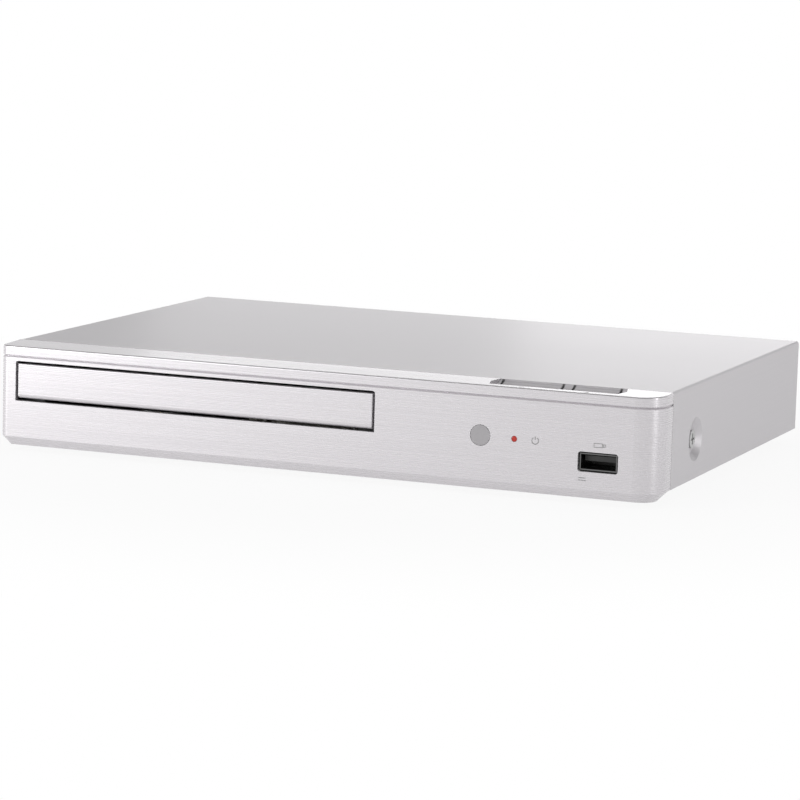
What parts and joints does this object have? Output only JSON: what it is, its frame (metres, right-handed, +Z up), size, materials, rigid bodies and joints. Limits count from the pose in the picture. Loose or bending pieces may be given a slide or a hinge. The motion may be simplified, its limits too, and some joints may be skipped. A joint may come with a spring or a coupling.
{
  "type": "disc player",
  "caption": "Low silver disc player: folded cover, moulded front with a sliding tray, keys on the top strip, rear sockets, and the tray drive inside",
  "frame": {"origin": "middle of the bounding box, on the plane its feet stand on", "axes": "+X to the right as seen from the front, +Y to the rear, +Z up"},
  "size_m": [0.246, 0.182, 0.0385],
  "materials": {
    "front_silver": "silver finish with fine level hairlines",
    "cover_silver": "satin silver paint on folded sheet",
    "plain_sheet": "plain zinc-plated sheet",
    "key_silver": "satin silver, a little darker than the front",
    "window_dark": "smoked grey, glossy",
    "lamp_red": "clear red",
    "shell_steel": "bright plated sheet",
    "black_plastic": "fine matt moulding",
    "tray_grey": "matt moulding",
    "frame_black": "matt moulding",
    "gear_white": "waxy acetal",
    "rubber_black": "matt rubber",
    "damper_rubber": "soft rubber",
    "board_green": "solder-masked laminate",
    "chip_black": "moulded package",
    "sink_metal": "extruded",
    "coil_tape": "taped winding in a dark core",
    "can_sleeve": "sleeved can with a bare top",
    "cable_white": "flat cable",
    "screw_steel": "plated",
    "rod_steel": "ground",
    "motor_steel": "drawn can",
    "sled_metal": "die cast",
    "lens_glass": "coated lens in a dark holder",
    "contact_brass": "plated"
  },
  "bodies": {
    "case": {"base_chassis": "plain_sheet", "top_cover": "cover_silver", "rear_panel": "plain_sheet", "foot_front_left": "rubber_black", "foot_front_right": "rubber_black", "foot_rear_left": "rubber_black", "foot_rear_right": "rubber_black", "case_screws": "screw_steel", "front_panel": "front_silver", "key_bezel": "key_silver", "key_switches": "black_plastic", "ir_window": "window_dark", "ir_receiver": "chip_black", "lamp_lens": "lamp_red", "lamp": "lamp_red", "usb_shell": "shell_steel", "socket_tongues": "black_plastic", "front_board": "board_green", "main_board": "board_green", "power_board": "board_green", "board_screws": "screw_steel", "processor": "chip_black", "heat_sink": "sink_metal", "memory_chips": "chip_black", "transformer": "coil_tape", "capacitors": "can_sleeve", "cable_sockets": "cable_white", "flat_cables": "cable_white", "ac_inlet": "black_plastic", "inlet_pins": "contact_brass", "hdmi_shell": "shell_steel", "lan_socket": "black_plastic", "coax_body": "black_plastic", "coax_barrel": "contact_brass", "loader_frame": "frame_black", "loader_screws": "screw_steel", "loading_motor": "motor_steel", "loading_belt": "rubber_black", "clamp_bridge": "plain_sheet"},
    "tray": {"tray": "tray_grey", "tray_door": "front_silver"},
    "drive_gear": {"drive_gear": "gear_white"},
    "pulley_gear": {"pulley_gear": "gear_white"},
    "motor_pulley": {"motor_pulley": "contact_brass"},
    "cam_slider": {"cam_slider": "gear_white"},
    "deck": {"tilt_frame": "frame_black", "deck_dampers": "damper_rubber", "deck_screws": "screw_steel", "traverse_deck": "plain_sheet", "guide_rods": "rod_steel", "spindle_motor": "motor_steel", "sled_motor": "motor_steel"},
    "turntable": {"turntable": "black_plastic"},
    "pickup": {"pickup": "sled_metal"},
    "lens": {"objective_lens": "lens_glass"},
    "lead_screw": {"lead_screw": "rod_steel"},
    "clamper": {"clamper": "frame_black"},
    "power_key": {"power_key": "key_silver"},
    "eject_key": {"eject_key": "key_silver"}
  },
  "joints": [
    {"name": "tray_slide", "type": "slide", "parent": "case", "child": "tray", "axis": [0, -1, 0], "range_m": [0, 0.132]},
    {"name": "drive_gear_turn", "type": "hinge", "parent": "case", "child": "drive_gear", "pos_m": [-0.0049, -0.067, 0.017], "axis": [0, 0, -1], "range_deg": [0, 1082]},
    {"name": "pulley_gear_turn", "type": "hinge", "parent": "case", "child": "pulley_gear", "pos_m": [-0.0289, -0.067, 0.017], "axis": [0, 0, 1], "range_deg": [0, 3243]},
    {"name": "motor_pulley_turn", "type": "hinge", "parent": "case", "child": "motor_pulley", "pos_m": [-0.0689, -0.067, 0.017], "axis": [0, 0, 1], "range_deg": [0, 11085]},
    {"name": "cam_slide", "type": "slide", "parent": "case", "child": "cam_slider", "axis": [1, 0, 0], "range_m": [0, 0.012]},
    {"name": "deck_lift", "type": "hinge", "parent": "case", "child": "deck", "pos_m": [-0.0479, 0.059, 0.0144], "axis": [1, 0, 0], "range_deg": [0, 3.2]},
    {"name": "turntable_spin", "type": "hinge", "parent": "deck", "child": "turntable", "pos_m": [-0.0479, -0.0195, 0.024], "axis": [0, 0, 1], "continuous": true},
    {"name": "sled_slide", "type": "slide", "parent": "deck", "child": "pickup", "axis": [0, 1, 0], "range_m": [0, 0.034]},
    {"name": "lens_focus", "type": "slide", "parent": "pickup", "child": "lens", "axis": [0, 0, 1], "range_m": [-0.0003, 0.0003], "stiffness_N_per_m": 100},
    {"name": "lead_screw_turn", "type": "hinge", "parent": "deck", "child": "lead_screw", "pos_m": [-0.0809, -0.0195, 0.0135], "axis": [0, -1, 0], "range_deg": [0, 4082]},
    {"name": "clamper_spin", "type": "hinge", "parent": "case", "child": "clamper", "pos_m": [-0.0479, -0.0195, 0.027], "axis": [0, 0, 1], "continuous": true},
    {"name": "power_press", "type": "slide", "parent": "case", "child": "power_key", "axis": [0, 0, -1], "range_m": [0, 0.0006], "stiffness_N_per_m": 400},
    {"name": "eject_press", "type": "slide", "parent": "case", "child": "eject_key", "axis": [0, 0, -1], "range_m": [0, 0.0006], "stiffness_N_per_m": 400}
  ],
  "couplings": [
    {"joint": "drive_gear_turn", "follows": "tray_slide", "rad_per_m": 142.86},
    {"joint": "pulley_gear_turn", "follows": "tray_slide", "rad_per_m": 428.57},
    {"joint": "motor_pulley_turn", "follows": "tray_slide", "rad_per_m": 1465.4},
    {"joint": "deck_lift", "follows": "cam_slide", "rad_per_m": 4.6542},
    {"joint": "lead_screw_turn", "follows": "sled_slide", "rad_per_m": 2094.4}
  ]
}
